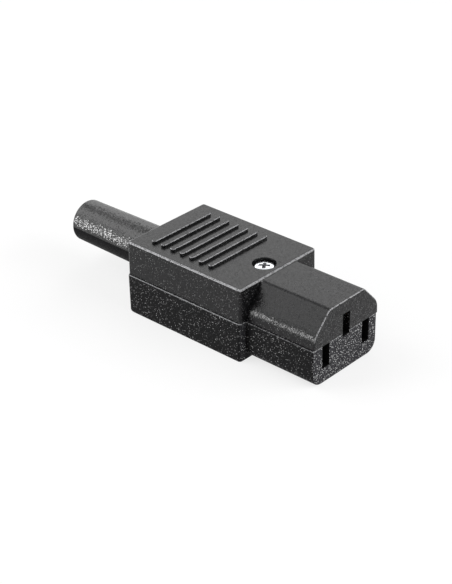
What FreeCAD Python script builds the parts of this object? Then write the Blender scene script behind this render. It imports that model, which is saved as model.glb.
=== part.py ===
"""Rewireable C13 power connector: two moulded shells, three socket contacts and a cord guard.

Millimetres. +X points to the mating face, +Z up, the near side is -Y. The origin lies under
the middle of the connector, on the surface that the lower shell rests on.
"""
import FreeCAD, Part
import math
import os

V = FreeCAD.Vector

# Overall form of the housing
body_length = 35.6
body_width = 26.3
lower_height = 9.9
upper_height = 8.65
body_corner_radius = 0.7
body_draft = 0.06
top_edge_radius = 0.5
rear_bottom_radius = 1.5
rim_radius = 0.2
shell_mismatch = 0.35
nose_length = 19.6
nose_width = 22.4
nose_top_step = 0.35
nose_bottom_step = 0.3
nose_chamfer_y = 5.1
nose_chamfer_z = 5.4
nose_chamfer_top_radius = 1.6
nose_chamfer_side_radius = 4.2
nose_bottom_radius = 3.0
nose_front_edge = 0.3

# Walls of the shells
side_wall = 1.9
floor_thickness = 2.0
roof_thickness = 2.0
end_wall = 1.9
nose_wall = 1.8
nose_floor = 1.7
front_wall = 2.0
partition = 1.3
rib_thickness = 1.2

# Grip ribs across the upper shell
grip_rib_count = 7
grip_rib_pitch = 2.99
grip_rib_width = 1.35
grip_rib_height = 0.7
grip_rib_length = 19.6
grip_rib_setback = 5.4
grip_rib_edge = 0.17
grip_rib_end_share = 0.98

# Mating face: three upright slots for flat pins
pin_spacing = 14.0
earth_offset = 5.0
slot_width = 2.5
slot_height = 5.8

# Socket contacts, folded from strip
strip = 0.6
contact_height = 5.4
contact_width = 3.6
contact_length = 13.0
contact_gap = 1.8
contact_mouth = 2.2
contact_throat_back = 3.0
contact_setback = 1.2
earth_tail_width = 5.2
tail_end = 3.0
bed_margin = 0.6
power_terminal_setback = 2.8
earth_terminal_setback = 8.7

# Terminal screws, washers and their threaded collars
terminal_thread = 2.5
terminal_head = 4.6
terminal_head_height = 1.8
washer_side = 4.6
washer_thickness = 0.8
collar_wall = 0.7
screw_end = 0.2
washer_corner = 0.8
screw_point = 0.42
screw_head_edge = 0.35
recess_reach_share = 0.29
recess_half_share = 0.08
recess_depth_share = 0.6

# Cover screw and the threaded insert that it holds in
cover_screw_setback = 4.3
cover_thread = 2.5
cover_head = 4.8
cover_head_height = 1.6
cover_head_depth = 0.4
cover_recess = 5.7
cover_boss = 7.8
cover_hole = 2.9
insert_diameter = 4.2
insert_length = 5.0
insert_groove = 0.25
insert_groove_width = 1.0

# Cord guard, a soft sleeve held by a flange inside the rear wall
guard_length = 27.8
guard_root_diameter = 11.3
guard_tip_diameter = 10.6
guard_tip_round = 0.5
guard_bore = 7.0
guard_neck_diameter = 9.6
guard_flange_thickness = 2.2

# Cord clamp, an arched bar over the cord with two screws
clamp_setback = 8.6
clamp_width = 5.0
clamp_foot = 2.4
clamp_thread = 2.9
clamp_head = 4.7
clamp_head_height = 1.9
clamp_screw_length = 8.5
cord_relief = 0.1

# Joint between the shells
lip_thickness = 0.9
lip_reach = 1.2
lip_root = 1.0
post_diameter = 4.0
post_setback = 15.0
spigot_diameter = 1.9
spigot_length = 2.4
spigot_lead = 0.38

# Clearances
assembly_gap = 0.3
slide_gap = 0.1
thread_gap = 0.05
tail_gap = 0.4
clamp_roof_gap = 1.0

# Places worked out from the sizes above
parting_z = lower_height
body_height = lower_height + upper_height
overall_length = nose_length + body_length + guard_length
front_x = overall_length / 2
body_front_x = front_x - nose_length
body_rear_x = body_front_x - body_length
guard_tip_x = body_rear_x - guard_length
inside_half_width = body_width / 2 - side_wall
inside_rear_x = body_rear_x + end_wall
inside_front_x = body_front_x - end_wall
nose_inside_x = front_x - front_wall
nose_inside_half = nose_width / 2 - nose_wall
nose_top_z = body_height - nose_top_step
roof_z = body_height - roof_thickness
power_z = parting_z - slot_height / 2
earth_z = power_z + earth_offset
power_bed_z = power_z - contact_height / 2
earth_bed_z = earth_z - contact_height / 2
insert_z = earth_bed_z - insert_length
collar_depth = power_bed_z - floor_thickness - screw_end - assembly_gap
terminal_screw_length = washer_thickness + strip + collar_depth + screw_end
pocket_half = contact_width / 2 + assembly_gap
pocket_inner_y = pin_spacing / 2 - pocket_half
power_terminal_y = (pocket_inner_y + inside_half_width) / 2
power_tail_width = inside_half_width - pocket_inner_y - 2 * tail_gap
contact_front_x = nose_inside_x - contact_setback
contact_rear_x = contact_front_x - contact_length
guard_z = parting_z
guard_flange_diameter = 2 * (roof_z - guard_z - assembly_gap)
cover_screw_x = body_front_x - cover_screw_setback
power_terminal_x = inside_front_x - power_terminal_setback
earth_terminal_x = cover_screw_x - earth_terminal_setback
cover_seat_z = body_height - cover_head_depth - cover_head_height
clamp_x = inside_rear_x + clamp_setback
clamp_arch_wall = roof_z - guard_z - guard_bore / 2 - cord_relief - clamp_roof_gap
clamp_length = 2 * (inside_half_width - lip_thickness - assembly_gap)
clamp_screw_spacing = clamp_length - clamp_head
keeper_x = inside_rear_x + guard_flange_thickness + slide_gap
post_x = inside_rear_x + post_setback
post_y = inside_half_width - post_diameter / 2 + slide_gap
partition_rear_x = power_terminal_x - tail_end - strip


def box(x0, x1, y0, y1, z0, z1):
    """Box between two values on each axis."""
    return Part.makeBox(x1 - x0, y1 - y0, z1 - z0, V(x0, y0, z0))


def upright(x, y, z0, z1, diameter):
    """Cylinder that stands from z0 to z1."""
    return Part.makeCylinder(diameter / 2, z1 - z0, V(x, y, z0))


def lengthwise(x0, x1, y, z, diameter):
    """Cylinder that runs along X from x0 to x1."""
    return Part.makeCylinder(diameter / 2, x1 - x0, V(x0, y, z), V(1, 0, 0))


def joined(shapes):
    """One solid made of the shapes, with no seams left between flush faces."""
    first, *others = shapes
    return first.fuse(others).removeSplitter() if others else first


def rounded_wire(corners):
    """Closed wire through (point, radius) corners, with a tangent arc at each rounded one."""
    ends = []
    for i, (corner, radius) in enumerate(corners):
        before = (corners[i - 1][0] - corner).normalize()
        after = (corners[(i + 1) % len(corners)][0] - corner).normalize()
        half_angle = before.getAngle(after) / 2
        run = radius / math.tan(half_angle)
        middle = (before + after).normalize() * (radius / math.sin(half_angle) - radius)
        ends.append((corner + before * run, corner + middle, corner + after * run, radius))
    edges = []
    for i, (start, middle, end, radius) in enumerate(ends):
        if radius > 0:
            edges.append(Part.Arc(start, middle, end).toShape())
        following = ends[(i + 1) % len(ends)][0]
        edges.append(Part.LineSegment(end, following).toShape())
    return Part.Wire(edges)


def prism(corners, direction):
    """Solid swept straight from a face with the given (point, radius) corners."""
    return Part.Face(rounded_wire(corners)).extrude(direction)


def rectangle(x0, x1, y0, y1, z, radius):
    """Corners of a level rectangle with rounded corners."""
    return [(V(x, y, z), radius) for x, y in ((x0, y0), (x1, y0), (x1, y1), (x0, y1))]


def body_outline(z, inset, y_shift):
    """Level outline of the body, drawn in by an inset on every side."""
    half = body_width / 2 - inset
    x0 = body_rear_x + inset
    x1 = body_front_x - inset
    return rounded_wire(rectangle(x0, x1, y_shift - half, y_shift + half, z, body_corner_radius))


def body_block(z_outer, y_shift):
    """Half of the body's outside, drafted from the parting plane to z_outer."""
    wires = [body_outline(parting_z, 0, y_shift), body_outline(z_outer, body_draft, y_shift)]
    return Part.makeLoft(wires, True, True)


def level_edges(solid, z):
    """The solid's edges that lie level at height z."""
    return [e for e in solid.Edges if abs(e.BoundBox.ZMin - z) < 1e-6 and abs(e.BoundBox.ZMax - z) < 1e-6]


def rear_rounding():
    """Side profile of the body, with its lower rear edge rounded, across the whole width."""
    y = -body_width
    top = 2 * body_height
    corners = [(V(body_rear_x, y, 0), rear_bottom_radius), (V(front_x, y, 0), 0),
               (V(front_x, y, top), 0), (V(body_rear_x, y, top), 0)]
    return prism(corners, V(0, 2 * body_width, 0))


def nose_section(x):
    """Corners of the nose's cross-section: a rectangle with two chamfered top corners."""
    half = nose_width / 2
    shoulder_z = nose_top_z - nose_chamfer_z
    flat = half - nose_chamfer_y
    return [(V(x, -half, nose_bottom_step), nose_bottom_radius),
            (V(x, half, nose_bottom_step), nose_bottom_radius),
            (V(x, half, shoulder_z), nose_chamfer_side_radius),
            (V(x, flat, nose_top_z), nose_chamfer_top_radius),
            (V(x, -flat, nose_top_z), nose_chamfer_top_radius),
            (V(x, -half, shoulder_z), nose_chamfer_side_radius)]


def nose_block(y_shift):
    """Outside of the nose, with the rim of its front face rounded."""
    start = inside_front_x
    solid = prism(nose_section(start), V(front_x - start, 0, 0))
    edges = [e for e in solid.Edges if abs(e.BoundBox.XMin - front_x) < 1e-6]
    solid = solid.makeFillet(nose_front_edge, edges)
    solid.translate(V(0, y_shift, 0))
    return solid


def nose_hollow():
    """Space inside the nose's walls, open to the rear."""
    start = inside_front_x - partition
    wire = rounded_wire(nose_section(start))
    inner = wire.makeOffset2D(-nose_wall, 0, False, False, True)
    hollow = Part.Face(inner).extrude(V(nose_inside_x - start, 0, 0))
    floor_z = nose_bottom_step + nose_floor
    room = box(start, nose_inside_x, -nose_width, nose_width, floor_z, nose_top_z)
    return hollow.common(room)


def body_hollow(z0, z1):
    """Space inside the body's walls between two heights."""
    inner_radius = body_corner_radius / 2
    half = inside_half_width
    corners = rectangle(inside_rear_x, inside_front_x, -half, half, z0, inner_radius)
    return prism(corners, V(0, 0, z1 - z0))


def above(z):
    """Everything above a height."""
    reach = overall_length
    return box(-reach, reach, -reach, reach, z, z + reach)


def below(z):
    """Everything below a height."""
    reach = overall_length
    return box(-reach, reach, -reach, reach, z - reach, z)


def slots():
    """Pin slots through the front wall: two below the parting plane and the earth slot above."""
    places = [(-pin_spacing / 2, power_z), (pin_spacing / 2, power_z), (0, earth_z)]
    cuts = []
    for y, z in places:
        cuts.append(box(nose_inside_x - partition, front_x + 1, y - slot_width / 2, y + slot_width / 2,
                        z - slot_height / 2, z + slot_height / 2))
    return cuts


def guard_hole():
    """Hole in the rear wall for the guard's neck, shared by both shells."""
    return lengthwise(body_rear_x - 1, inside_rear_x + 1, 0, guard_z, guard_neck_diameter + 2 * slide_gap)


def guard_keeper(z0, z1):
    """Rib in front of the guard's flange, cut out round the cord."""
    end = keeper_x + rib_thickness
    rib = box(keeper_x, end, -inside_half_width, inside_half_width, z0, z1)
    return rib.cut(lengthwise(keeper_x - 1, end + 1, 0, guard_z, guard_bore + 2 * assembly_gap))


def cradle(y0, y1, z0, z1):
    """Row of cross ribs in the nose, which carry a contact or hold it down."""
    room = contact_length - rib_thickness
    start = contact_rear_x
    return [box(start + room * i / 3, start + room * i / 3 + rib_thickness, y0, y1, z0, z1) for i in range(4)]


def partitions(half_gap, z0, z1):
    """Two upright walls that part the earth contact from the others."""
    walls = []
    for side in (-1, 1):
        y = sorted((side * half_gap, side * (half_gap + partition)))
        walls.append(box(partition_rear_x, nose_inside_x, y[0], y[1], z0, z1))
    return walls


def terminal_bed(x, y, top_z, tail_width):
    """Block under a terminal's tail, bored for the threaded collar and the screw's end."""
    half = tail_width / 2 + bed_margin
    block = box(x - tail_end, x + tail_end, y - half, y + half, floor_thickness / 2, top_z)
    collar = terminal_thread + 2 * collar_wall + 2 * assembly_gap
    depth = collar_depth + screw_end + assembly_gap
    return block.cut(upright(x, y, top_z - depth, top_z + 1, collar))


def lower_shell():
    """Lower half of the housing: tray, contact beds, clamp bed, posts and the screw's boss."""
    shift = -shell_mismatch / 2
    body = body_block(0, shift).common(rear_rounding())
    nose = nose_block(shift).common(below(parting_z))
    outside = joined([body, nose])
    outside = outside.makeFillet(rim_radius, level_edges(outside, parting_z))
    hollows = [body_hollow(floor_thickness, parting_z + 1), nose_hollow()]
    tray = outside.cut(hollows)
    return joined([tray] + lower_inner()).cut(lower_cuts()).removeSplitter()


def lower_inner():
    """Walls, ribs and bosses that stand in the lower shell."""
    floor_z = floor_thickness / 2
    middle = pocket_inner_y - partition
    room = nose_core()
    shapes = partitions(middle, floor_z, parting_z)
    shapes += cradle(-middle, middle, floor_z, earth_bed_z)
    for side in (-1, 1):
        y0, y1 = sorted((side * pocket_inner_y, side * (nose_inside_half + nose_wall / 2)))
        shapes += [rib.common(room) for rib in cradle(y0, y1, floor_z, power_bed_z)]
        shapes.append(terminal_bed(power_terminal_x, side * power_terminal_y, power_bed_z, power_tail_width))
        shapes.append(upright(post_x, side * post_y, floor_z, parting_z, post_diameter))
    shapes.append(terminal_bed(earth_terminal_x, 0, earth_bed_z, earth_tail_width))
    shapes.append(upright(cover_screw_x, 0, floor_z, earth_bed_z, cover_boss))
    shapes.append(clamp_bed(floor_z))
    shapes.append(guard_keeper(floor_z, parting_z))
    return shapes


def clamp_bed(z0):
    """Bed across the lower shell that the cord lies in, with a boss at each end."""
    half = clamp_length / 2
    bed = box(clamp_x - clamp_width / 2, clamp_x + clamp_width / 2, -half, half, z0, parting_z)
    return bed.cut(lengthwise(clamp_x - clamp_width, clamp_x + clamp_width, 0, guard_z,
                              guard_bore + 2 * cord_relief))


def lower_cuts():
    """Holes in the lower shell: slots, guard, spigots, insert and clamp screws."""
    cuts = slots() + [guard_hole()]
    cuts.append(upright(cover_screw_x, 0, insert_z, parting_z + 1, insert_diameter))
    spigot_z = parting_z - spigot_length - assembly_gap
    screw_z = parting_z + clamp_foot - clamp_screw_length - assembly_gap
    for side in (-1, 1):
        cuts.append(upright(post_x, side * post_y, spigot_z, parting_z + 1, spigot_diameter + 2 * slide_gap))
        cuts.append(upright(clamp_x, side * clamp_screw_spacing / 2, screw_z, parting_z + 1,
                            clamp_thread + 2 * thread_gap))
    return cuts


def upper_shell():
    """Upper half of the housing: roof, grip ribs, contact covers, lip, spigots and screw boss."""
    shift = shell_mismatch / 2
    block = body_block(body_height, shift)
    body = block.makeFillet(top_edge_radius, level_edges(block, body_height))
    nose = nose_block(shift).common(above(parting_z))
    outside = joined([body, nose])
    hollows = [body_hollow(parting_z - 1, roof_z), nose_hollow()]
    cover = outside.cut(hollows)
    return joined([cover] + grip_ribs() + upper_inner()).cut(upper_cuts()).removeSplitter()


def grip_ribs():
    """Row of raised ribs with round ends across the top."""
    ribs = []
    half = grip_rib_length / 2
    for i in range(grip_rib_count):
        x = body_rear_x + grip_rib_setback + i * grip_rib_pitch
        corners = rectangle(x - grip_rib_width / 2, x + grip_rib_width / 2, -half, half,
                            roof_z + roof_thickness / 2, grip_rib_end_share * grip_rib_width / 2)
        rib = prism(corners, V(0, 0, roof_thickness / 2 + grip_rib_height))
        rim = level_edges(rib, body_height + grip_rib_height)
        ribs.append(rib.makeChamfer(grip_rib_edge, rim))
    return ribs


def upper_inner():
    """Walls, ribs, lip and posts that hang in the upper shell."""
    earth_top_z = earth_z + contact_height / 2 + assembly_gap
    power_top_z = parting_z + slide_gap
    inner_roof_z = nose_top_z - nose_wall / 2
    room = nose_core()
    shapes = [w.common(room) for w in partitions(pocket_half, parting_z, inner_roof_z)]
    hold_downs = cradle(-pocket_half, pocket_half, earth_top_z, inner_roof_z)
    for side in (-1, 1):
        y0, y1 = sorted((side * pocket_inner_y, side * (pin_spacing / 2 + pocket_half)))
        hold_downs += cradle(y0, y1, power_top_z, inner_roof_z)
    shapes += [rib.common(room) for rib in hold_downs]
    shapes.append(upright(cover_screw_x, 0, earth_bed_z + strip, roof_z + roof_thickness / 2, cover_boss))
    shapes.append(guard_keeper(parting_z, roof_z + roof_thickness / 2))
    for side in (-1, 1):
        shapes += spigot(side)
        shapes += lip(side)
    return shapes


def nose_core():
    """Nose's section drawn in by half a wall, which trims what joins the nose's walls."""
    start = inside_rear_x
    wire = rounded_wire(nose_section(start))
    inner = wire.makeOffset2D(-nose_wall / 2, 0, False, False, True)
    return Part.Face(inner).extrude(V(nose_inside_x + front_wall / 2 - start, 0, 0))


def spigot(side):
    """Post in the upper shell with the spigot that enters the lower shell's post."""
    y = side * post_y
    post = upright(post_x, y, parting_z, roof_z + 1, post_diameter)
    pin = upright(post_x, y, parting_z - spigot_length, parting_z, spigot_diameter)
    return [post, pin.makeChamfer(spigot_lead, level_edges(pin, parting_z - spigot_length))]


def lip(side):
    """Lip on the upper shell that reaches down inside the lower shell's side wall."""
    outer = inside_half_width - slide_gap
    inner = outer - lip_thickness
    root = inside_half_width + side_wall / 2
    stretches = [(keeper_x + rib_thickness + slide_gap, clamp_x - clamp_width / 2 - slide_gap),
                 (clamp_x + clamp_width / 2 + slide_gap, post_x - post_diameter / 2 - assembly_gap),
                 (post_x + post_diameter / 2 + assembly_gap, inside_front_x - body_corner_radius)]
    shapes = []
    for x0, x1 in stretches:
        y0, y1 = sorted((side * inner, side * root))
        shapes.append(box(x0, x1, y0, y1, parting_z, parting_z + lip_root))
        y0, y1 = sorted((side * inner, side * outer))
        shapes.append(box(x0, x1, y0, y1, parting_z - lip_reach, parting_z))
    return shapes


def upper_cuts():
    """Holes in the upper shell: slots, guard, and the cover screw's hole and recess."""
    cuts = slots() + [guard_hole()]
    cuts.append(upright(cover_screw_x, 0, 0, body_height + 1, cover_hole))
    cuts.append(upright(cover_screw_x, 0, cover_seat_z, body_height + 1, cover_recess))
    return cuts


def receptacle(y, z):
    """Strip folded to a U round the pin, narrowed near its mouth and flared in front."""
    outer = contact_width / 2
    mouth = contact_mouth / 2
    throat = contact_gap / 2
    throat_x = contact_front_x - contact_throat_back
    back_x = contact_rear_x
    z0 = z - contact_height / 2
    leaf = [(contact_front_x, y + mouth), (throat_x, y + throat), (back_x + strip, y + outer - strip),
            (back_x, y + outer - strip), (back_x, y + outer), (back_x + 2 * strip, y + outer),
            (throat_x, y + throat + strip), (contact_front_x, y + mouth + strip)]
    near = prism([(V(px, py, z0), 0) for px, py in leaf], V(0, 0, contact_height))
    far = near.mirror(V(0, y, 0), V(0, 1, 0))
    web = box(back_x, back_x + strip, y - outer, y + outer, z0, z0 + contact_height)
    return [near, far, web]


def tail(y, z0, terminal_x, terminal_y, width):
    """Flat strip from the receptacle's back to the terminal, with its threaded collar."""
    half = contact_width / 2
    rear = terminal_x - tail_end
    front = inside_front_x - assembly_gap
    neck = box(rear, contact_rear_x + strip, y - half, y + half, z0, z0 + strip)
    plate = box(rear, front, terminal_y - width / 2, terminal_y + width / 2, z0, z0 + strip)
    collar = upright(terminal_x, terminal_y, z0 - collar_depth, z0, terminal_thread + 2 * collar_wall)
    return [neck, plate, collar]


def contact(y, z, terminal_x, terminal_y, width):
    """Whole contact: receptacle and tail, with the terminal's thread cut."""
    z0 = z - contact_height / 2
    whole = joined(receptacle(y, z) + tail(y, z0, terminal_x, terminal_y, width))
    thread = terminal_thread + 2 * thread_gap
    return whole.cut(upright(terminal_x, terminal_y, z0 - collar_depth - 1, z0 + strip + 1, thread))


def earth_contact():
    """Earth contact: its tail has a hole that the cover screw passes through."""
    hole = upright(cover_screw_x, 0, earth_bed_z - 1, earth_bed_z + strip + 1, cover_hole)
    return contact(0, earth_z, earth_terminal_x, 0, earth_tail_width).cut(hole)


def screw(x, y, seat_z, thread, length, head, head_height):
    """Pan-head screw with a cross recess: head above its seat, plain shank below."""
    top_z = seat_z + head_height
    shank = upright(x, y, seat_z - length, seat_z, thread)
    shank = shank.makeChamfer(screw_point, level_edges(shank, seat_z - length))
    cap = upright(x, y, seat_z, top_z, head)
    cap = cap.makeChamfer(screw_head_edge, level_edges(cap, top_z))
    return joined([cap, shank]).cut(cross_recess(x, y, top_z, head, head_height))


def cross_recess(x, y, top_z, head, head_height):
    """Tapered cross for the driver: two crossed wedges that meet on the screw's axis."""
    reach = head * recess_reach_share
    half = head * recess_half_share
    depth = head_height * recess_depth_share
    wedge = [(V(x - reach, y - half, top_z + 1), 0), (V(x - reach, y - half, top_z), 0),
             (V(x - half, y - half, top_z - depth), 0), (V(x + half, y - half, top_z - depth), 0),
             (V(x + reach, y - half, top_z), 0), (V(x + reach, y - half, top_z + 1), 0)]
    blade = prism(wedge, V(0, 2 * half, 0))
    crossed = blade.copy()
    crossed.rotate(V(x, y, 0), V(0, 0, 1), 90)
    return [blade, crossed]


def washer(x, y, z0):
    """Square washer with rounded corners, which presses the wire on the tail."""
    half = washer_side / 2
    corners = rectangle(x - half, x + half, y - half, y + half, z0, washer_corner)
    plate = prism(corners, V(0, 0, washer_thickness))
    return plate.cut(upright(x, y, z0 - 1, z0 + washer_thickness + 1, terminal_thread + 2 * slide_gap))


def cover_insert():
    """Threaded brass insert in the lower shell's boss, with a groove round its middle."""
    outer = insert_diameter - 2 * thread_gap
    body = upright(cover_screw_x, 0, insert_z, earth_bed_z, outer)
    middle_z = (insert_z + earth_bed_z) / 2
    half = insert_groove_width / 2
    groove = upright(cover_screw_x, 0, middle_z - half, middle_z + half, 2 * outer)
    groove = groove.cut(upright(cover_screw_x, 0, 0, earth_bed_z, outer - 2 * insert_groove))
    thread = upright(cover_screw_x, 0, 0, earth_bed_z + 1, cover_thread + 2 * thread_gap)
    return body.cut([groove, thread])


def cord_guard():
    """Soft sleeve: tapered outside, round tip, neck in the wall and flange inside it."""
    tip = guard_tip_diameter / 2
    root = guard_root_diameter / 2
    neck = guard_neck_diameter / 2
    flange = guard_flange_diameter / 2
    bore = guard_bore / 2
    flange_x = inside_rear_x + guard_flange_thickness
    lead_in = guard_tip_round / 2
    profile = [((guard_tip_x + lead_in, bore), 0), ((guard_tip_x, bore + lead_in), 0),
               ((guard_tip_x, tip), guard_tip_round), ((body_rear_x, root), 0),
               ((body_rear_x, neck), 0), ((inside_rear_x, neck), 0),
               ((inside_rear_x, flange), 0), ((flange_x, flange), 0), ((flange_x, bore), 0)]
    corners = [(V(px, 0, guard_z + radius), rounding) for (px, radius), rounding in profile]
    return Part.Face(rounded_wire(corners)).revolve(V(0, 0, guard_z), V(1, 0, 0), 360)


def cord_clamp():
    """Arched bar over the cord, with a flat foot and a screw hole at each end."""
    arch = guard_bore / 2 + cord_relief
    x0 = clamp_x - clamp_width / 2
    x1 = clamp_x + clamp_width / 2
    half = clamp_length / 2
    feet = box(x0, x1, -half, half, parting_z, parting_z + clamp_foot)
    crown = lengthwise(x0, x1, 0, guard_z, 2 * (arch + clamp_arch_wall))
    room = clamp_screw_spacing / 2 - clamp_head / 2 - slide_gap
    crown = crown.common(box(x0, x1, -room, room, parting_z, body_height))
    bar = joined([feet, crown]).cut(lengthwise(x0 - 1, x1 + 1, 0, guard_z, 2 * arch))
    holes = [upright(clamp_x, side * clamp_screw_spacing / 2, 0, body_height, clamp_thread + 2 * slide_gap)
             for side in (-1, 1)]
    return bar.cut(holes)


def cover_screw():
    """Screw from the top through the upper shell and earth tail into the insert."""
    length = cover_seat_z - insert_z - slide_gap
    return screw(cover_screw_x, 0, cover_seat_z, cover_thread, length, cover_head, cover_head_height)


def clamp_screw(side):
    """One of the two screws that hold the cord clamp down."""
    return screw(clamp_x, side * clamp_screw_spacing / 2, parting_z + clamp_foot, clamp_thread,
                 clamp_screw_length, clamp_head, clamp_head_height)


def terminals():
    """Contact, washer and screw of each pole, by node name."""
    poles = {"neutral": (-pin_spacing / 2, power_z, power_terminal_x, -power_terminal_y),
             "line": (pin_spacing / 2, power_z, power_terminal_x, power_terminal_y),
             "earth": (0, earth_z, earth_terminal_x, 0)}
    nodes = {}
    for pole, (y, z, x, terminal_y) in poles.items():
        plate_z = z - contact_height / 2 + strip
        if pole == "earth":
            whole = earth_contact()
        else:
            whole = contact(y, z, x, terminal_y, power_tail_width)
        nodes[pole + "_contact"] = whole
        nodes[pole + "_washer"] = washer(x, terminal_y, plate_z)
        nodes[pole + "_screw"] = screw(x, terminal_y, plate_z + washer_thickness, terminal_thread,
                                       terminal_screw_length, terminal_head, terminal_head_height)
    return nodes


def build():
    """Every node of the connector, by name."""
    nodes = {
        "lower_shell": lower_shell(),
        "upper_shell": upper_shell(),
        "cover_screw": cover_screw(),
        "cover_insert": cover_insert(),
        "cord_guard": cord_guard(),
        "cord_clamp": cord_clamp(),
        "near_clamp_screw": clamp_screw(-1),
        "far_clamp_screw": clamp_screw(1),
    }
    nodes.update(terminals())
    return nodes


def main():
    """Writes each node to parts/ and prints its volume."""
    os.makedirs("parts", exist_ok=True)
    for name, shape in build().items():
        shape.exportStep("parts/" + name + ".step")
        print(name, len(shape.Solids), "solid", round(shape.Volume, 1), "mm3", shape.isValid())


main()
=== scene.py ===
"""Looks of a rewireable power connector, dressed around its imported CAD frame.

Everything is in metres in the frame's own axes: +X points to the mating face, +Z up, the near side
is -Y. Sizes are written in millimetres and turned to metres by MM.
"""

import logging
import math
from dataclasses import dataclass
from enum import Enum
from typing import Any

import bpy
import numpy as np
from mathutils import Matrix, Vector


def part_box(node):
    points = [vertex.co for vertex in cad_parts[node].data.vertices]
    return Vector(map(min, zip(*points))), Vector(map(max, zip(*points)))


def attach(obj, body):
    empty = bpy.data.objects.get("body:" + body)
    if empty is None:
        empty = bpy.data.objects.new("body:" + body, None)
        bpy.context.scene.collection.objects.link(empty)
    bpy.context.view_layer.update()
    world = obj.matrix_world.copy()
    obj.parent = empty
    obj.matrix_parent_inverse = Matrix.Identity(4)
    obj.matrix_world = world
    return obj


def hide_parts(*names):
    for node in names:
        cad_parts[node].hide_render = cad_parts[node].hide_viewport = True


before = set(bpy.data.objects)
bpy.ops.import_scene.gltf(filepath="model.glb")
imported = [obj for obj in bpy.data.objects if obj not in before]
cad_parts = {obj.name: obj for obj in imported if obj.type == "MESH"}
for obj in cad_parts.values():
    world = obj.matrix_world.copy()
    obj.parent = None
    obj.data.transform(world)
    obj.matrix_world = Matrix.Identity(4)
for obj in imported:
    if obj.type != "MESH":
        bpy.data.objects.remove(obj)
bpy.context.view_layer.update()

MM = 0.001
BODY = "root"
log = logging.getLogger("connector")

Socket = bpy.types.NodeSocket
Node = bpy.types.Node
Tree = bpy.types.NodeTree
Grid = np.ndarray
Span = tuple[float, float]

# Sockets of a Mix node that mixes colours: its two inputs and its result.
MIX_A, MIX_B, MIXED = 6, 7, 2


def linear(colour: str) -> tuple[float, float, float, float]:
    """Turns an sRGB hex colour into linear light, by the curve of the sRGB standard.

    Args:
        colour: six hex digits after a hash sign.

    Returns:
        Linear red, green and blue, and an alpha of 1.
    """
    shares = np.array([int(colour[i:i + 2], 16) for i in (1, 3, 5)]) / 255.0
    low = shares / 12.92
    high = ((shares + 0.055) / 1.055) ** 2.4
    red, green, blue = np.where(shares <= 0.04045, low, high)
    return (float(red), float(green), float(blue), 1.0)


def per_metre(size_mm: float) -> float:
    """Texture scale at which one feature of the pattern measures size_mm."""
    return 1.0 / (size_mm * MM)


def towards(azimuth_deg: float, elevation_deg: float) -> Vector:
    """Direction away from the connector.

    Args:
        azimuth_deg: 0 for its -Y side and 90 for its +X side.
        elevation_deg: 90 for straight up.

    Returns:
        The direction, of length 1.
    """
    azimuth, elevation = math.radians(azimuth_deg), math.radians(elevation_deg)
    return Vector((math.sin(azimuth) * math.cos(elevation),
                   -math.cos(azimuth) * math.cos(elevation), math.sin(elevation)))


def add_node(tree: Tree, kind: str, inputs: dict[Any, Any] | None = None,
             **settings: Any) -> Node:
    """Adds one node with its settings, values and links.

    Args:
        tree: node tree that gets the node.
        kind: name of the node's type without its ShaderNode prefix.
        inputs: value, output socket or node for each input, by name or number. A node stands for
            its first output.
        settings: the node's own properties.

    Returns:
        The new node.
    """
    node = tree.nodes.new("ShaderNode" + kind)
    for name, value in settings.items():
        setattr(node, name, value)
    for name, value in (inputs or {}).items():
        source = value.outputs[0] if isinstance(value, Node) else value
        if isinstance(source, Socket):
            tree.links.new(source, node.inputs[name])
        else:
            node.inputs[name].default_value = source
    return node


def new_material(name: str) -> tuple[bpy.types.Material, Tree]:
    """Makes a material with an empty node tree.

    Args:
        name: what the material is called in the scene.

    Returns:
        The material and its node tree.
    """
    material = bpy.data.materials.new(name)
    material.use_nodes = True
    material.node_tree.nodes.clear()
    return material, material.node_tree


def dress(piece: bpy.types.Object, material: bpy.types.Material) -> None:
    """Gives every slot of a piece one material.

    Args:
        piece: the piece, which gets a slot if it has none.
        material: what it is made of.
    """
    if not piece.material_slots:
        piece.data.materials.append(material)
    for slot in piece.material_slots:
        slot.material = material


def face_middles(piece: bpy.types.Object) -> Grid:
    """Finds the middle of each face.

    Args:
        piece: the piece.

    Returns:
        Rows of x, y and z in metres.
    """
    middles = np.zeros(3 * len(piece.data.polygons), dtype=np.float32)
    piece.data.polygons.foreach_get("center", middles)
    return middles.reshape(-1, 3)


def sheet_piece(name: str, points: Grid) -> bpy.types.Object:
    """Turns a grid of points that closes round its second axis into a closed mesh.

    The first and last rows are poles: each is drawn together in one point, with a fan of triangles.
    The rows between are joined by quads, so the surface has no open edge.

    Args:
        name: name of the piece.
        points: array of rows by columns by 3, in metres.

    Returns:
        The new object, at the origin, linked to the scene.
    """
    rows, columns = points.shape[:2]
    ring = np.arange(columns)
    following = np.roll(ring, -1)
    start = (np.arange(rows - 3) * columns)[:, None]
    quads = np.stack([start + ring, start + columns + ring,
                      start + columns + following, start + following], axis=-1).reshape(-1, 4)
    middle = points[1:-1].reshape(-1, 3)
    top, bottom = len(middle), len(middle) + 1
    last = (rows - 3) * columns
    fans = np.concatenate([
        np.stack([np.full(columns, top), ring, following], axis=-1),
        np.stack([np.full(columns, bottom), last + following, last + ring], axis=-1)])
    vertices = np.concatenate([middle, points[0, :1], points[-1, :1]])
    mesh = bpy.data.meshes.new(name)
    mesh.from_pydata(vertices.tolist(), [], quads.tolist() + fans.tolist())
    mesh.polygons.foreach_set("use_smooth", np.full(len(mesh.polygons), True))
    mesh.update()
    piece = bpy.data.objects.new(name, mesh)
    bpy.context.scene.collection.objects.link(piece)
    return piece


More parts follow.
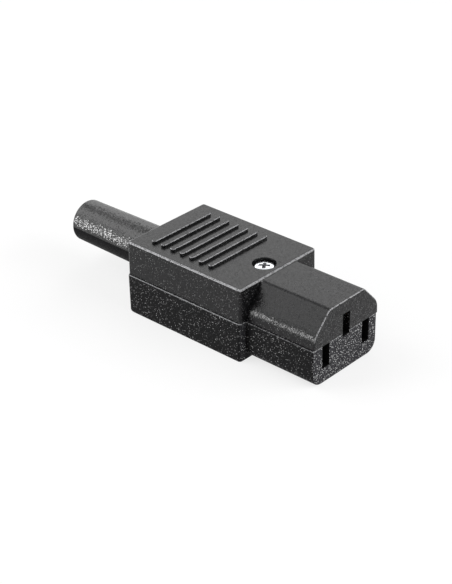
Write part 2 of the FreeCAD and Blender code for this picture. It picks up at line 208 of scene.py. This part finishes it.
@dataclass(frozen=True)
class WearAndHighlightZones:
    """Where rounded edges get rubbing and a painted highlight, as starts and ends of soft limits.

    Places are in metres. The rise is the upward part of the surface's direction, and an edge is
    where it lies between an upright wall's and a level one's. The mottle is cut from a noise.
    """
    rise_starts: Span = (0.1, 0.3)
    rise_ends: Span = (0.985, 0.93)
    top: Span = (17.9 * MM, 18.1 * MM)
    top_ends: Span = (22.3 * MM, 22.1 * MM)
    seam_starts: Span = (9.6 * MM, 9.7 * MM)
    seam_ends: Span = (10.1 * MM, 10.0 * MM)
    rim: Span = (41.22 * MM, 41.34 * MM)
    nose_share: float = 0.45
    blotch_mm: float = 0.35
    mottle: Span = (0.3, 0.55)


@dataclass(frozen=True)
class HollowZone:
    """Room behind the outer walls, as the start and the end of each soft limit in metres."""
    sides: Span = (9.6 * MM, 9.8 * MM)
    face: Span = (41.2 * MM, 41.4 * MM)
    floor: Span = (0.8 * MM, 0.7 * MM)
    roof: Span = (11.0 * MM, 11.2 * MM)


@dataclass(frozen=True)
class MouldedPlastic:
    """Black plastic moulded against a spark-eroded steel wall.

    The wall's craters leave a matt grain. Its pale dots are painted glints, standing in for the
    shine of burnished peaks, and small facets of the grain glint where they face a lamp. Rounded
    edges that look partly up are painted paler: rubbing together with a painted highlight. Real
    craters are 0.05 to 0.1 mm wide. The grain and the painted glints are drawn about three times as
    coarse, or they wouldn't show in the render.

    A pair of numbers is the start and the end of a soft limit, or of what comes out between them.
    Ahead is the forward part of the surface's direction from which a face looks to the mating
    side. Upright and level are the upward parts at which it stops being a wall and becomes level.
    """
    name: str
    base: str
    glint_colour: str
    grain_mm: float
    grain_height_mm: float
    fleck_mm: float
    fleck_share: float
    roughness: float
    # Colour of the rounded edges: rubbing together with a painted highlight.
    edge: str
    edge_roughness: float
    specular: float
    facet_tilt: float = 0.1
    # Painted light on faces that look to the mating side: a gain on the painted glints and a lift
    # of the wall's colour.
    painted_face_gain: float = 1.0
    painted_face_lift: float = 1.0
    level_share: float = 1.0
    level_tilt: float = 0.75
    dot: Span = (0.5, 0.15)
    ahead: Span = (0.5, 0.9)
    upright: Span = (0.2, 0.5)
    level: Span = (0.6, 0.9)
    grain_detail: float = 2.0
    grain_roughness: float = 0.55
    grain_heights: Span = (0.3, 0.7)
    grain_shades: Span = (0.6, 1.4)
    wear_and_highlight: WearAndHighlightZones = WearAndHighlightZones()
    hollow: HollowZone = HollowZone()

    def material(self) -> bpy.types.Material:
        """Builds the node tree.

        Returns:
            The finished material.
        """
        material, tree = new_material(self.name)
        place = add_node(tree, "TexCoord").outputs["Object"]
        grain = add_node(tree, "TexNoise", {"Vector": place, "Scale": per_metre(self.grain_mm),
                                            "Detail": self.grain_detail,
                                            "Roughness": self.grain_roughness})
        cells = add_node(tree, "TexVoronoi", {"Vector": place, "Scale": per_metre(self.fleck_mm)})
        normal = add_node(tree, "NewGeometry").outputs["Normal"]
        forward, _, rise = add_node(tree, "SeparateXYZ", {0: normal}).outputs
        ahead = add_node(tree, "MapRange", {"Value": forward, "From Min": self.ahead[0],
                                            "From Max": self.ahead[1]})
        # Rounded edges that look partly up are painted paler: rubbing with a painted highlight.
        wear_and_highlight_mask = self.edge_wear_and_highlight(tree, place, rise)
        plain = self.wall_colour(tree, grain, ahead)
        wear_and_highlight = add_node(tree, "Mix", {"Factor": wear_and_highlight_mask, MIX_A: plain, MIX_B: linear(self.edge)},
                        data_type="RGBA").outputs[MIXED]
        # Pale dots in the colour: painted glints.
        painted_glints = self.painted_glints(tree, cells, ahead, place, rise)
        colour = add_node(tree, "Mix", {"Factor": painted_glints, MIX_A: wear_and_highlight, MIX_B: linear(self.glint_colour)},
                          data_type="RGBA").outputs[MIXED]
        matt = add_node(tree, "MapRange", {"Value": wear_and_highlight_mask, "To Min": self.roughness,
                                           "To Max": self.edge_roughness})
        shader = add_node(tree, "BsdfPrincipled", {
            "Base Color": colour, "Roughness": matt,
            "Normal": self.relief(tree, grain, cells, rise), "Specular IOR Level": self.specular})
        add_node(tree, "OutputMaterial", {0: shader})
        return material

    def wall_colour(self, tree: Tree, grain: Node, ahead: Node) -> Node:
        """Colour of the plain wall: shaded by the grain's height, and lifted on the mating side as
        painted light.

        Args:
            tree: node tree of the material.
            grain: height of the grain.
            ahead: 1 where the surface looks to the mating side, and 0 elsewhere.

        Returns:
            Node with the colour.
        """
        shade = add_node(tree, "MapRange", {
            "Value": grain, "From Min": self.grain_heights[0], "From Max": self.grain_heights[1],
            "To Min": self.grain_shades[0], "To Max": self.grain_shades[1]})
        # Painted light: faces that look to the mating side are painted lighter.
        painted_lift = add_node(tree, "MapRange", {"Value": ahead, "To Min": 1.0,
                                           "To Max": self.painted_face_lift})
        shade = add_node(tree, "Math", {0: shade, 1: painted_lift}, operation="MULTIPLY")
        return add_node(tree, "VectorMath", {0: linear(self.base)[:3], "Scale": shade},
                        operation="SCALE")

    def relief(self, tree: Tree, grain: Node, cells: Node, rise: Socket) -> Node:
        """Surface direction: raised by the grain, then tilted by a chance amount in each cell.

        Along each axis the tilt is twice the cell's chance value less one, times the facet tilt.
        The mould's level faces were eroded more finely, so the cells are tilted less there.

        Args:
            tree: node tree of the material.
            grain: height of the grain.
            cells: cell pattern, whose colour is a chance value for each cell.
            rise: upward part of the surface's direction.

        Returns:
            Node with the direction.
        """
        bump = add_node(tree, "Bump", {"Strength": 1.0, "Distance": self.grain_height_mm * MM,
                                       "Height": grain})
        tilt = add_node(tree, "VectorMath", {0: cells.outputs["Color"],
                                             1: (2.0 * self.facet_tilt,) * 3,
                                             2: (-self.facet_tilt,) * 3},
                        operation="MULTIPLY_ADD")
        calm = add_node(tree, "MapRange", {"Value": rise, "From Min": self.level[0],
                                           "From Max": self.level[1], "To Min": 1.0,
                                           "To Max": self.level_tilt})
        tilt = add_node(tree, "VectorMath", {0: tilt, "Scale": calm}, operation="SCALE")
        tilted = add_node(tree, "VectorMath", {0: bump, 1: tilt})
        return add_node(tree, "VectorMath", {0: tilted}, operation="NORMALIZE")

    def outside(self, tree: Tree, place: Socket) -> Node:
        """Tells the outer walls, which get painted glints, from the hollows behind them, which get
        none.

        Args:
            tree: node tree of the material.
            place: where the surface point is on the piece.

        Returns:
            Node whose value is 1 on the outer walls and 0 in the slots and the chamber.
        """
        x, y, z = add_node(tree, "SeparateXYZ", {0: place}).outputs
        aside = add_node(tree, "Math", {0: y}, operation="ABSOLUTE")
        wall, *others = [
            add_node(tree, "MapRange", {"Value": value, "From Min": start, "From Max": end})
            for value, (start, end) in ((aside, self.hollow.sides), (x, self.hollow.face),
                                        (z, self.hollow.floor), (z, self.hollow.roof))]
        for other in others:
            wall = add_node(tree, "Math", {0: wall, 1: other}, operation="MAXIMUM")
        return wall

    def painted_glints(self, tree: Tree, cells: Node, ahead: Node, place: Socket, rise: Socket) -> Node:
        """Painted glints: a share of the cells of a cell pattern, each a soft dot.

        The dot falls with the distance from its cell's middle. The chance value counts twice, so
        that bright dots are rare. The hollows have none, faces that look up have fewer, and on
        faces that look to the mating side they are scaled as painted light.

        Args:
            tree: node tree of the material.
            cells: cell pattern: the distance from each cell's middle, and as colour a chance value.
            ahead: 1 where the surface looks to the mating side, and 0 elsewhere.
            place: where the surface point is on the piece.
            rise: upward part of the surface's direction.

        Returns:
            Node whose value is 0 between the painted glints and up to 1 on them.
        """
        dice = add_node(tree, "SeparateColor", {"Color": cells.outputs["Color"]})
        chosen = add_node(tree, "MapRange", {"Value": dice, "From Min": 1.0 - self.fleck_share})
        dot = add_node(tree, "MapRange", {"Value": cells, "From Min": self.dot[0],
                                          "From Max": self.dot[1]})
        # Painted light: the dots are scaled on faces that look to the mating side.
        painted_gain = add_node(tree, "MapRange", {"Value": ahead, "To Min": 1.0,
                                           "To Max": self.painted_face_gain})
        few = add_node(tree, "MapRange", {"Value": rise, "From Min": self.upright[0],
                                          "From Max": self.upright[1], "To Min": 1.0,
                                          "To Max": self.level_share})
        painted_glints = chosen
        for factor in (chosen, dot, painted_gain, self.outside(tree, place), few):
            painted_glints = add_node(tree, "Math", {0: painted_glints, 1: factor}, operation="MULTIPLY",
                              use_clamp=True)
        return painted_glints

    def edge_wear_and_highlight(self, tree: Tree, place: Socket, rise: Socket) -> Node:
        """Where rounded edges get rubbing and a painted highlight: on top, round the face and along
        the seam.

        The mask is mottled, so it comes out as a broken line. It keeps to edges that look partly
        up, and the nose's seam gets less of it than the body's.

        Args:
            tree: node tree of the material.
            place: where the surface point is on the piece.
            rise: upward part of the surface's direction.

        Returns:
            Node whose value is 0 on flat walls and up to 1 on edges with rubbing and painted
            highlight.
        """
        x, _, z = add_node(tree, "SeparateXYZ", {0: place}).outputs
        blotch = add_node(tree, "TexNoise", {"Vector": place,
                                             "Scale": per_metre(self.wear_and_highlight.blotch_mm)})
        on_top, behind_nose, over_start, under_end, zone, *wear_and_highlight_factors = [
            add_node(tree, "MapRange", {"Value": value, "From Min": start, "From Max": end})
            for value, (start, end) in (
                (z, self.wear_and_highlight.top), (x, self.wear_and_highlight.top_ends), (z, self.wear_and_highlight.seam_starts),
                (z, self.wear_and_highlight.seam_ends), (x, self.wear_and_highlight.rim), (rise, self.wear_and_highlight.rise_starts),
                (rise, self.wear_and_highlight.rise_ends), (blotch, self.wear_and_highlight.mottle))]
        share = add_node(tree, "MapRange", {"Value": behind_nose, "To Min": self.wear_and_highlight.nose_share,
                                            "To Max": 1.0})
        seam = add_node(tree, "Math", {0: over_start, 1: under_end}, operation="MULTIPLY")
        for first, second in ((on_top, behind_nose), (seam, share)):
            band = add_node(tree, "Math", {0: first, 1: second}, operation="MULTIPLY")
            zone = add_node(tree, "Math", {0: zone, 1: band}, operation="MAXIMUM")
        for factor in wear_and_highlight_factors:
            zone = add_node(tree, "Math", {0: zone, 1: factor}, operation="MULTIPLY")
        return zone


@dataclass(frozen=True)
class PatternedMetal:
    """Metal with a faint pattern between two close shades, drawn out along the part's length."""
    name: str
    colour: str
    shade: str
    pattern_mm: float
    roughness: float
    detail: float = 2.0
    stretch: float = 1.0

    def material(self) -> bpy.types.Material:
        """Builds the node tree.

        Returns:
            The finished material.
        """
        material, tree = new_material(self.name)
        place = add_node(tree, "TexCoord").outputs["Object"]
        drawn = add_node(tree, "Mapping", {"Vector": place,
                                           "Scale": (1.0 / self.stretch, 1.0, 1.0)})
        pattern = add_node(tree, "TexNoise", {"Vector": drawn, "Detail": self.detail,
                                              "Scale": per_metre(self.pattern_mm)})
        colour = add_node(tree, "Mix", {"Factor": pattern, MIX_A: linear(self.shade),
                                        MIX_B: linear(self.colour)}, data_type="RGBA")
        shader = add_node(tree, "BsdfPrincipled", {"Base Color": colour.outputs[MIXED],
                                                   "Metallic": 1.0,
                                                   "Roughness": self.roughness})
        add_node(tree, "OutputMaterial", {0: shader})
        return material


@dataclass(frozen=True)
class PlatedSteel(PatternedMetal):
    """Steel with bright zinc plate: silvery white, with a faint cloudy crystal bloom."""
    name: str = "zinc_plated_steel"
    colour: str = "#eef0f2"
    shade: str = "#cfd2d6"
    pattern_mm: float = 0.5
    roughness: float = 0.24
    detail: float = 3.0


@dataclass(frozen=True)
class RolledBrass(PatternedMetal):
    """Cold-rolled brass strip: warm yellow metal with fine marks along the rolling direction."""
    name: str = "brass_rolled_strip"
    colour: str = "#dcbd7c"
    shade: str = "#b9975c"
    pattern_mm: float = 0.2
    roughness: float = 0.32
    stretch: float = 12.0


@dataclass(frozen=True)
class ShadedRecess:
    """Floor and walls of a punched recess: plate painted dark against the head, as the shade in the
    recess.
    """
    name: str = "zinc_plate_painted_recess_shade"
    colour: str = "#5c5c5f"
    roughness: float = 0.35

    def material(self) -> bpy.types.Material:
        """Builds the node tree.

        Returns:
            The finished material.
        """
        material, tree = new_material(self.name)
        shader = add_node(tree, "BsdfPrincipled", {"Base Color": linear(self.colour),
                                                   "Metallic": 1.0,
                                                   "Roughness": self.roughness})
        add_node(tree, "OutputMaterial", {0: shader})
        return material


@dataclass(frozen=True)
class SoftBox:
    """Flat lamp that faces the connector. Its angles are those seen from the connector."""
    name: str
    azimuth_deg: float
    elevation_deg: float
    width_deg: float
    height_deg: float
    radiance: float
    distance_mm: float = 700.0

    def hang(self) -> None:
        """Makes the lamp, with the power that its face needs for its radiance."""
        direction = towards(self.azimuth_deg, self.elevation_deg)
        distance = self.distance_mm * MM
        width, height = (2.0 * distance * math.tan(math.radians(angle / 2.0))
                         for angle in (self.width_deg, self.height_deg))
        data = bpy.data.lights.new(self.name, "AREA")
        data.shape = "RECTANGLE"
        data.size, data.size_y = width, height
        data.energy = self.radiance * math.pi * width * height
        piece = bpy.data.objects.new(self.name, data)
        bpy.context.scene.collection.objects.link(piece)
        piece.location = direction * distance
        piece.rotation_mode = "QUATERNION"
        piece.rotation_quaternion = direction.to_track_quat("Z", "Y")


@dataclass
class Studio:
    """Pale floor, white surround and soft lamps."""
    floor_reach_mm: float = 4000.0
    floor_drop_mm: float = 0.05
    floor_glow: float = 0.75
    paper: str = "#f8f8f8"
    white: str = "#ffffff"
    surround_light: float = 0.35
    # Name, azimuth, elevation, width and height in degrees, and radiance of each lamp.
    lamps: tuple[SoftBox, ...] = (
        SoftBox("side_box", -40.0, 5.0, 28.0, 9.0, 30.0),
        SoftBox("upper_box", -56.0, 44.0, 44.0, 40.0, 2.8),
        SoftBox("right_box", 114.0, 28.0, 50.0, 30.0, 6.0),
        SoftBox("rear_box", 222.0, 32.0, 40.0, 26.0, 1.3),
    )

    def floor(self) -> None:
        """Lays a plain pale floor a hair under the connector."""
        reach, height = self.floor_reach_mm * MM, -self.floor_drop_mm * MM
        mesh = bpy.data.meshes.new("floor")
        mesh.from_pydata([(-reach, -reach, height), (reach, -reach, height),
                          (reach, reach, height), (-reach, reach, height)], [], [(0, 1, 2, 3)])
        piece = bpy.data.objects.new("floor", mesh)
        bpy.context.scene.collection.objects.link(piece)
        material, tree = new_material("pale_paper_floor")
        share = add_node(tree, "Math", {0: self.seen(tree), 1: self.floor_glow},
                         operation="MULTIPLY")
        paper = add_node(tree, "BsdfDiffuse", {"Color": linear(self.paper)})
        white = add_node(tree, "Emission", {"Color": linear(self.white), "Strength": 1.0})
        mixed = add_node(tree, "MixShader", {0: share, 1: paper, 2: white})
        add_node(tree, "OutputMaterial", {0: mixed})
        dress(piece, material)

    @staticmethod
    def seen(tree: Tree) -> Node:
        """Whether a ray comes from the camera, a reflection or a clear material.

        Args:
            tree: node tree of the floor or the surround.

        Returns:
            Node whose value is 1 for such a ray and 0 for any other.
        """
        rays = add_node(tree, "LightPath").outputs
        pair = add_node(tree, "Math", {0: rays["Is Camera Ray"], 1: rays["Is Glossy Ray"]},
                        operation="MAXIMUM")
        return add_node(tree, "Math", {0: pair, 1: rays["Is Transmission Ray"]},
                        operation="MAXIMUM")

    def surround(self) -> None:
        """White surround: full white where it is seen, softer as a light."""
        world = bpy.data.worlds.new("studio")
        bpy.context.scene.world = world
        world.use_nodes = True
        tree = world.node_tree
        tree.nodes.clear()
        light = add_node(tree, "MapRange", {"Value": self.seen(tree), "To Max": 1.0,
                                            "To Min": self.surround_light})
        shade = add_node(tree, "Background", {"Color": linear(self.white), "Strength": light})
        add_node(tree, "OutputWorld", {0: shade})

    def build(self) -> None:
        """Sets up the floor, the surround and the lamps."""
        self.floor()
        self.surround()
        for lamp in self.lamps:
            lamp.hang()


@dataclass
class ViewCamera:
    """Camera at the photograph's place, worked out from the connector's straight edges."""
    place_mm: tuple[float, float, float] = (217.681, -229.341, 186.800)
    azimuth_deg: float = 42.76
    elevation_deg: float = 29.996
    roll_deg: float = -0.975
    lens_mm: float = 94.363
    sensor_mm: float = 36.0
    clip_mm: Span = (10.0, 20000.0)

    def build(self) -> None:
        """Makes the camera the scene's own."""
        data = bpy.data.cameras.new("view_camera")
        data.sensor_width = self.sensor_mm
        data.lens = self.lens_mm
        data.clip_start, data.clip_end = (distance * MM for distance in self.clip_mm)
        back = towards(self.azimuth_deg, self.elevation_deg)
        roll = math.radians(self.roll_deg)
        level = Vector((0.0, 0.0, 1.0)).cross(back).normalized()
        upright = back.cross(level)
        right = level * math.cos(roll) + upright * math.sin(roll)
        up = upright * math.cos(roll) - level * math.sin(roll)
        camera = bpy.data.objects.new("view_camera", data)
        bpy.context.scene.collection.objects.link(camera)
        turn = Matrix((right, up, back)).transposed().to_4x4()
        camera.matrix_world = Matrix.Translation(Vector(self.place_mm) * MM) @ turn
        bpy.context.scene.camera = camera


class Thread(Enum):
    """Kinds of thread: pitch and depth in millimetres, and share of the pitch in its ridge."""
    METRIC_2_5 = (0.45, 0.26, 0.5)
    TAPPING_2_9 = (1.1, 0.36, 0.3)

    @property
    def pitch(self) -> float:
        """Distance between two turns, in millimetres."""
        return self.value[0]

    @property
    def depth(self) -> float:
        """How deep the groove is, in millimetres."""
        return self.value[1]

    @property
    def ridge(self) -> float:
        """Share of the pitch in which the ridge rises and falls."""
        return self.value[2]


@dataclass
class PanHeadScrew:
    """Cross-recessed pan-head screw, which stands for a plain screw of the frame.

    The side is rounded over side_round_mm inwards and over side_stretch times that downwards. The
    recess gets deeper by the wall's or the end's slope for each millimetre inwards, down to its
    floor. The point's length and taper are counted in thread depths.
    """
    node: str
    thread: Thread
    head_height_mm: float
    shank_mm: float
    turn_deg: float
    dome_mm: float = 0.32
    side_round_mm: float = 0.25
    side_stretch: float = 2.0
    seat_edge_mm: float = 0.05
    seat_share: float = 0.97
    recess_reach_share: float = 0.29
    recess_half_mm: float = 0.4
    recess_depth_mm: float = 1.0
    floor_rise: float = 0.3
    wall_slope: float = 7.0
    end_slope: float = 1.6
    # Depth under the dome from which faces get the recess's painted shade.
    recess_shade_from_mm: float = 0.1
    point_length: float = 1.5
    point_taper: float = 0.6
    columns: int = 96
    rows_per_pitch: int = 6
    top_rows: int = 48
    side_rows: int = 7

    def build(self, finish: bpy.types.Material, dull: bpy.types.Material) -> bpy.types.Object:
        """Makes the screw, dresses it and ties it to the frame.

        Args:
            finish: its material.
            dull: material of its recess, painted dark as shade.

        Returns:
            The screw's object.
        """
        low, high = (np.array(corner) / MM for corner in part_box(self.node))
        top = np.array([*((low + high) / 2.0)[:2], high[2]])
        head_radius = (high[0] - low[0]) / 2.0
        angles = np.linspace(0.0, 2.0 * np.pi, self.columns, endpoint=False)
        head = self.head(head_radius, angles)
        shank = self.shank(high[2] - low[2] - self.head_height_mm, angles)
        radius, height = (np.concatenate(rows) for rows in zip(head, shank))
        points = np.stack([radius * np.cos(angles), radius * np.sin(angles), height], axis=-1)
        piece = sheet_piece(self.node + "_turned", (points + top) * MM)
        piece.data.materials.append(finish)
        piece.data.materials.append(dull)
        # The recess's faces get the dark material: painted shade.
        piece.data.polygons.foreach_set("material_index", self.recess_shade_faces(piece, top, head_radius))
        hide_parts(self.node)
        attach(piece, BODY)
        return piece

    def reach(self, head_radius: float) -> float:
        """How far the recess's arms reach from the middle, in millimetres."""
        return 2.0 * head_radius * self.recess_reach_share

    def recess_shade_faces(self, piece: bpy.types.Object, top: Grid, head_radius: float) -> Grid:
        """Picks the faces that lie in the recess, by how far they are below the dome.

        Args:
            piece: the screw.
            top: middle of the dome in millimetres.
            head_radius: radius of the head in millimetres.

        Returns:
            1 for each face in the recess and 0 for any other.
        """
        middles = face_middles(piece) / MM - top
        radius = np.hypot(middles[:, 0], middles[:, 1])
        below = -self.dome_mm * (radius / head_radius) ** 2 - middles[:, 2]
        inside = (below > self.recess_shade_from_mm) & (radius < self.reach(head_radius))
        return inside.astype(np.int32)

    def head(self, head_radius: float, angles: Grid) -> tuple[Grid, Grid]:
        """Rows from the head's middle over its dome and round side to the seat.

        The dome falls with the square of the radius, the side is a quarter ellipse, and the recess
        is taken off the dome's height.

        Args:
            head_radius: radius of the head in millimetres.
            angles: angle of each column.

        Returns:
            Radius and height of each point, the height counted from the top.
        """
        flat = head_radius - self.side_round_mm
        radii = np.linspace(0.0, flat, self.top_rows)
        dome = -self.dome_mm * (radii / head_radius) ** 2
        bend = np.linspace(0.0, np.pi / 2.0, self.side_rows + 1)[1:]
        side = dome[-1] - self.side_stretch * self.side_round_mm * (1.0 - np.cos(bend))
        radius = np.concatenate([radii, flat + self.side_round_mm * np.sin(bend),
                                 [head_radius, head_radius * self.seat_share]])
        height = np.concatenate([dome, side, [self.seat_edge_mm - self.head_height_mm,
                                              -self.head_height_mm]])
        radius, height = (np.repeat(row[:, None], len(angles), axis=1)
                          for row in (radius, height))
        height[:self.top_rows] -= self.recess(radius[:self.top_rows], angles, head_radius)
        return radius, height

    def recess(self, radius: Grid, angles: Grid, head_radius: float) -> Grid:
        """Depth of the cross: two crossed arms with steep walls, sloping ends and a conical floor.

        Each arm's depth is the least of the distance inside its wall times the wall's slope, the
        distance inside its end times the end's slope, and the floor. The cross is the deeper arm.

        Args:
            radius: distance of each point from the middle.
            angles: angle of each column.
            head_radius: radius of the head in millimetres.

        Returns:
            Depth at each point, in millimetres.
        """
        turned = angles - math.radians(self.turn_deg)
        along, across = np.abs(radius * np.cos(turned)), np.abs(radius * np.sin(turned))
        reach = self.reach(head_radius)
        floor = self.recess_depth_mm * (1.0 - self.floor_rise * radius / reach)
        arms = [np.minimum((self.recess_half_mm - wide) * self.wall_slope,
                           (reach - far) * self.end_slope)
                for far, wide in ((along, across), (across, along))]
        return np.clip(np.maximum(*arms), 0.0, np.maximum(floor, 0.0))

    def shank(self, length: float, angles: Grid) -> tuple[Grid, Grid]:
        """Rows down the threaded shank to its point.

        The radius is the crest's less a groove that follows the angle: its place in the pitch is
        the height over the pitch plus the share of a turn. The point narrows evenly, and a ring
        halfway in and a pole close it.

        Args:
            length: length of the shank in millimetres.
            angles: angle of each column.

        Returns:
            Radius and height of each point, the height counted from the head's top.
        """
        thread = self.thread
        down = np.linspace(0.0, length, int(self.rows_per_pitch * length / thread.pitch))[:, None]
        phase = (down / thread.pitch + angles / (2.0 * np.pi)) % 1.0
        ridge = np.clip((np.abs(phase - 0.5) * 2.0 - 1.0 + thread.ridge) / thread.ridge, 0.0, 1.0)
        point = 1.0 - np.clip((length - down) / (self.point_length * thread.depth), 0.0, 1.0)
        radius = (self.shank_mm / 2.0 - thread.depth * (1.0 - ridge)
                  - self.point_taper * thread.depth * point)
        height = np.repeat(-self.head_height_mm - down, len(angles), axis=1)
        radius = np.concatenate([radius, radius[-1:] / 2.0, np.zeros((1, len(angles)))])
        return radius, np.concatenate([height, height[-1:], height[-1:]])


@dataclass
class Housing:
    """Two moulded shells and the clamp inside, each with its own grain."""
    # Nylon against a finely eroded wall: satin black, its level faces nearly free of painted
    # glints.
    # Its faces that look to the mating side get fainter painted glints: painted shade.
    upper: MouldedPlastic = MouldedPlastic(
        "nylon_moulded_fine_grain", base="#101011", glint_colour="#989898", grain_mm=0.4,
        grain_height_mm=0.02, fleck_mm=0.24, fleck_share=0.34, roughness=0.26, edge="#949496",
        edge_roughness=0.34, specular=0.2, painted_face_gain=0.5, level_share=0.2)
    # Nylon against a coarsely eroded wall: matt black with pale painted glints, and a mating face
    # painted greyer and with brighter painted glints than the sides, as painted light.
    lower: MouldedPlastic = MouldedPlastic(
        "nylon_moulded_coarse_grain", base="#0b0b0c", glint_colour="#c8c8c8", grain_mm=0.3,
        grain_height_mm=0.05, fleck_mm=0.24, fleck_share=0.3, roughness=0.6, edge="#8c8c8e",
        edge_roughness=0.42, specular=0.07, facet_tilt=0.15, painted_face_gain=1.9, painted_face_lift=7.0)
    # Nylon against a plain ground wall: even dark grey with a soft gloss.
    clamp: MouldedPlastic = MouldedPlastic(
        "nylon_moulded_plain", base="#171718", glint_colour="#303030", grain_mm=0.4,
        grain_height_mm=0.01, fleck_mm=0.3, fleck_share=0.05, roughness=0.42, edge="#202021",
        edge_roughness=0.4, specular=0.3)

    def build(self) -> None:
        """Dresses the two shells and the clamp."""
        for node, finish in (("upper_shell", self.upper), ("lower_shell", self.lower),
                             ("cord_clamp", self.clamp)):
            dress(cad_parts[node], finish.material())
            log.info("%s: %s", node, finish.name)


@dataclass
class CordGuard:
    """Soft sleeve behind the housing, moulded in two halves: a glossy one above a dull one."""
    # Soft PVC against a polished, finely eroded wall: deep black with a highlight that glitters.
    upper: MouldedPlastic = MouldedPlastic(
        "soft_pvc_moulded_glossy_grain", base="#080809", glint_colour="#3a3a3a", grain_mm=0.4,
        grain_height_mm=0.01, fleck_mm=0.25, fleck_share=0.2, roughness=0.25, edge="#0f0f10",
        edge_roughness=0.25, specular=0.46, facet_tilt=0.19, level_tilt=0.8)
    # Soft PVC against an eroded wall: dull charcoal without a highlight.
    lower: MouldedPlastic = MouldedPlastic(
        "soft_pvc_moulded_dull_grain", base="#0e0e0f", glint_colour="#4a4a4a", grain_mm=0.22,
        grain_height_mm=0.06, fleck_mm=0.24, fleck_share=0.2, roughness=0.5, edge="#0f0f10",
        edge_roughness=0.5, specular=0.04, facet_tilt=0.12)

    def build(self) -> None:
        """Dresses the sleeve, each face by the half of the mould that it lies in."""
        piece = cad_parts["cord_guard"]
        low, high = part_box("cord_guard")
        parting = (low[2] + high[2]) / 2.0
        below = (face_middles(piece)[:, 2] < parting).astype(np.int32)
        piece.data.materials.clear()
        for finish in (self.upper, self.lower):
            piece.data.materials.append(finish.material())
        piece.data.polygons.foreach_set("material_index", below)
        log.info("cord_guard: %s above, %s below", self.upper.name, self.lower.name)


@dataclass
class Hardware:
    """Screws, washers, insert and socket contacts."""
    # Node, thread, head height and shank in millimetres, and turn in degrees of each screw.
    screws: tuple[PanHeadScrew, ...] = (
        PanHeadScrew("cover_screw", Thread.METRIC_2_5, 1.6, 2.5, 35.0),
        PanHeadScrew("near_clamp_screw", Thread.TAPPING_2_9, 1.9, 2.9, 10.0),
        PanHeadScrew("far_clamp_screw", Thread.TAPPING_2_9, 1.9, 2.9, 55.0),
        PanHeadScrew("neutral_screw", Thread.METRIC_2_5, 1.8, 2.5, 30.0),
        PanHeadScrew("line_screw", Thread.METRIC_2_5, 1.8, 2.5, 70.0),
        PanHeadScrew("earth_screw", Thread.METRIC_2_5, 1.8, 2.5, 5.0),
    )

    def build(self) -> None:
        """Builds the screws and dresses what stays of the frame."""
        # The dull material is the recess's painted shade.
        zinc, dull, brass = (finish.material() for finish in
                             (PlatedSteel(), ShadedRecess(), RolledBrass()))
        for screw in self.screws:
            piece = screw.build(zinc, dull)
            log.info("%s: %d faces", piece.name, len(piece.data.polygons))
        for node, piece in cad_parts.items():
            if node.endswith(("contact", "insert")):
                dress(piece, brass)
                log.info("%s: brass", node)
            elif node.endswith(("washer", "screw")):
                dress(piece, zinc)
                log.info("%s: zinc plate", node)


def main() -> None:
    """Builds the scene in order and reports each piece."""
    logging.basicConfig(level=logging.INFO, format="%(message)s")
    bpy.context.scene.view_settings.view_transform = "Standard"
    ViewCamera().build()
    Studio().build()
    Housing().build()
    CordGuard().build()
    Hardware().build()


if __name__ == "__main__":
    main()
